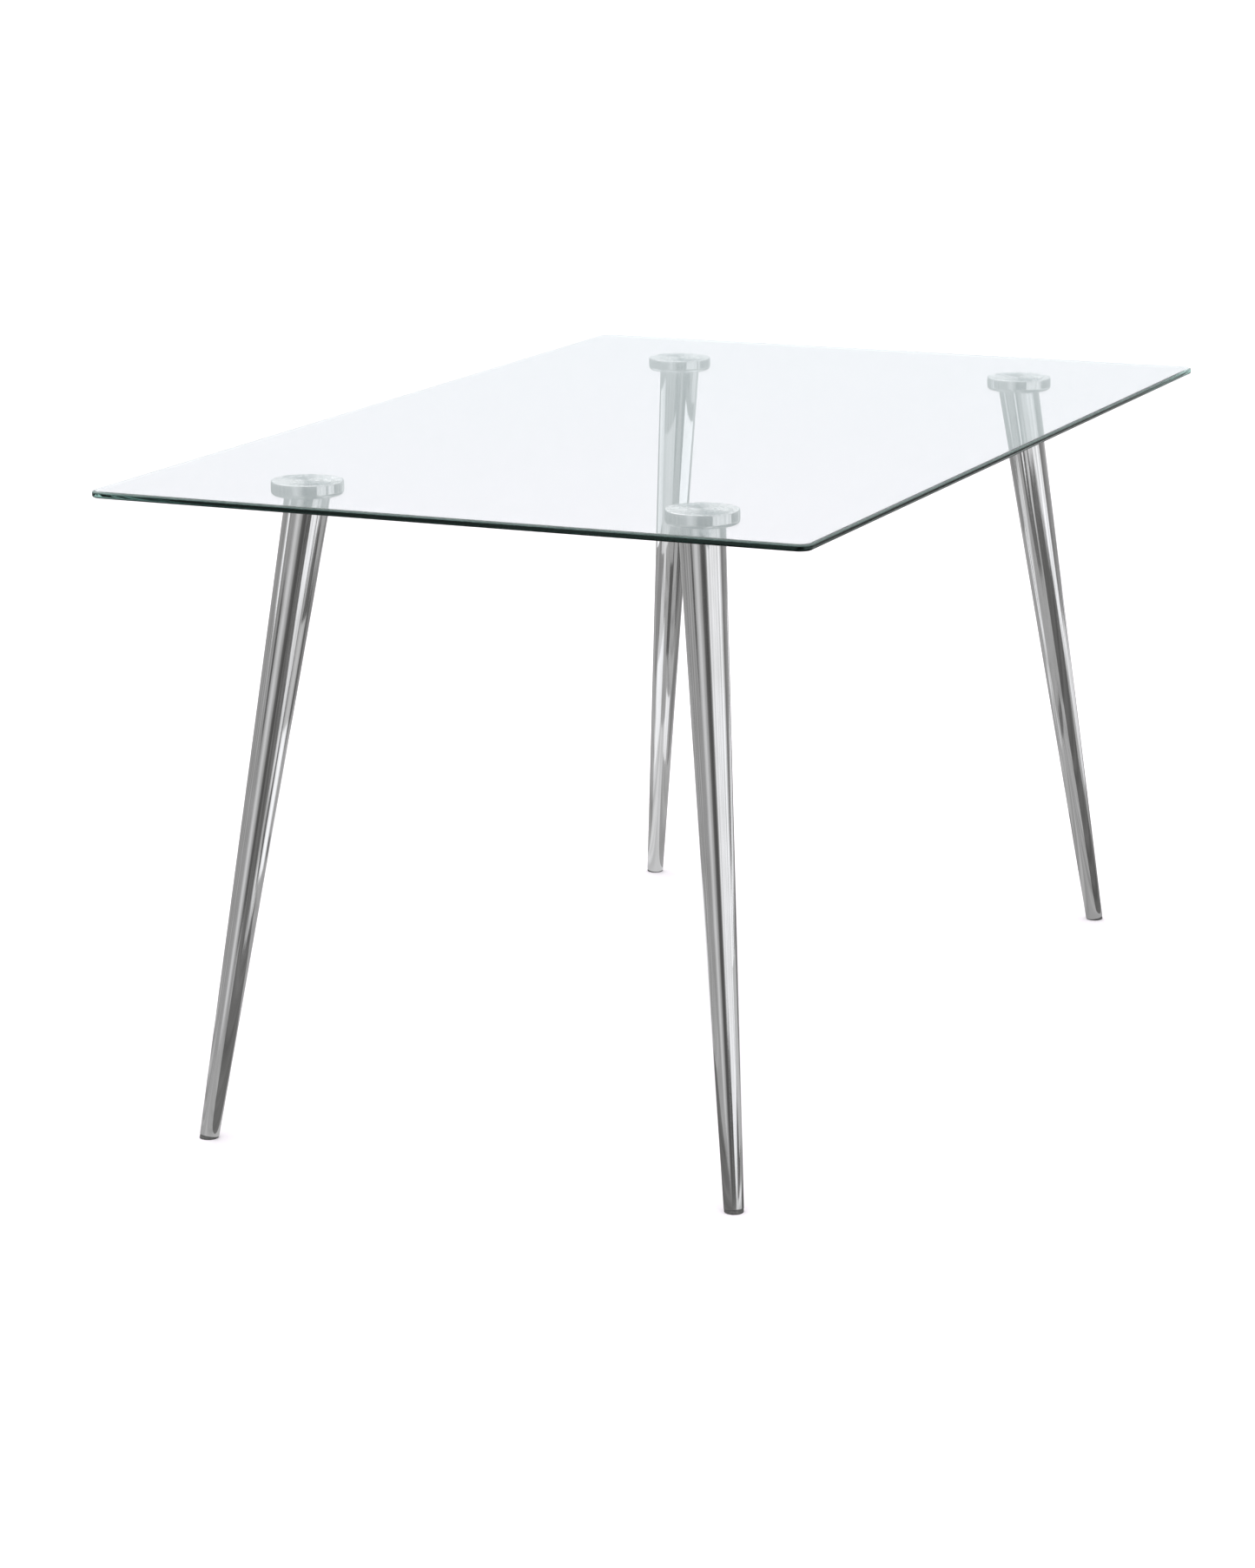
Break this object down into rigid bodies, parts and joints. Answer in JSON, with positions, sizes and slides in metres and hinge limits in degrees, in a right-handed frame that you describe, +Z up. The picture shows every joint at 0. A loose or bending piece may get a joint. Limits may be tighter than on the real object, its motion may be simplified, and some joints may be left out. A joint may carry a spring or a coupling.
{
  "type": "dining table",
  "caption": "Rectangular clear-glass dining table on splayed, tapered round chrome legs that screw into chrome discs bonded under the glass.",
  "frame": {"origin": "on the floor, under the middle of the top", "axes": "+X along the top's length, +Y across its width, +Z up"},
  "size_m": [1.4, 0.85, 0.75],
  "materials": {
    "tempered_glass": "clear, with ground and polished edges",
    "chrome": "polished chrome plate",
    "zinc_plated_steel": "zinc-plated, matte",
    "grey_plastic": "moulded, fine matte grain"
  },
  "bodies": {
    "root": {"glass_top": "tempered_glass", "mounting_disc_front_left": "chrome", "mounting_disc_front_right": "chrome", "mounting_disc_rear_left": "chrome", "mounting_disc_rear_right": "chrome", "leg_stud_front_left": "zinc_plated_steel", "leg_stud_front_right": "zinc_plated_steel", "leg_stud_rear_left": "zinc_plated_steel", "leg_stud_rear_right": "zinc_plated_steel", "leg_head_front_left": "zinc_plated_steel", "leg_head_front_right": "zinc_plated_steel", "leg_head_rear_left": "zinc_plated_steel", "leg_head_rear_right": "zinc_plated_steel", "leg_tube_front_left": "chrome", "leg_tube_front_right": "chrome", "leg_tube_rear_left": "chrome", "leg_tube_rear_right": "chrome", "foot_glide_front_left": "grey_plastic", "foot_glide_front_right": "grey_plastic", "foot_glide_rear_left": "grey_plastic", "foot_glide_rear_right": "grey_plastic"}
  },
  "joints": []
}
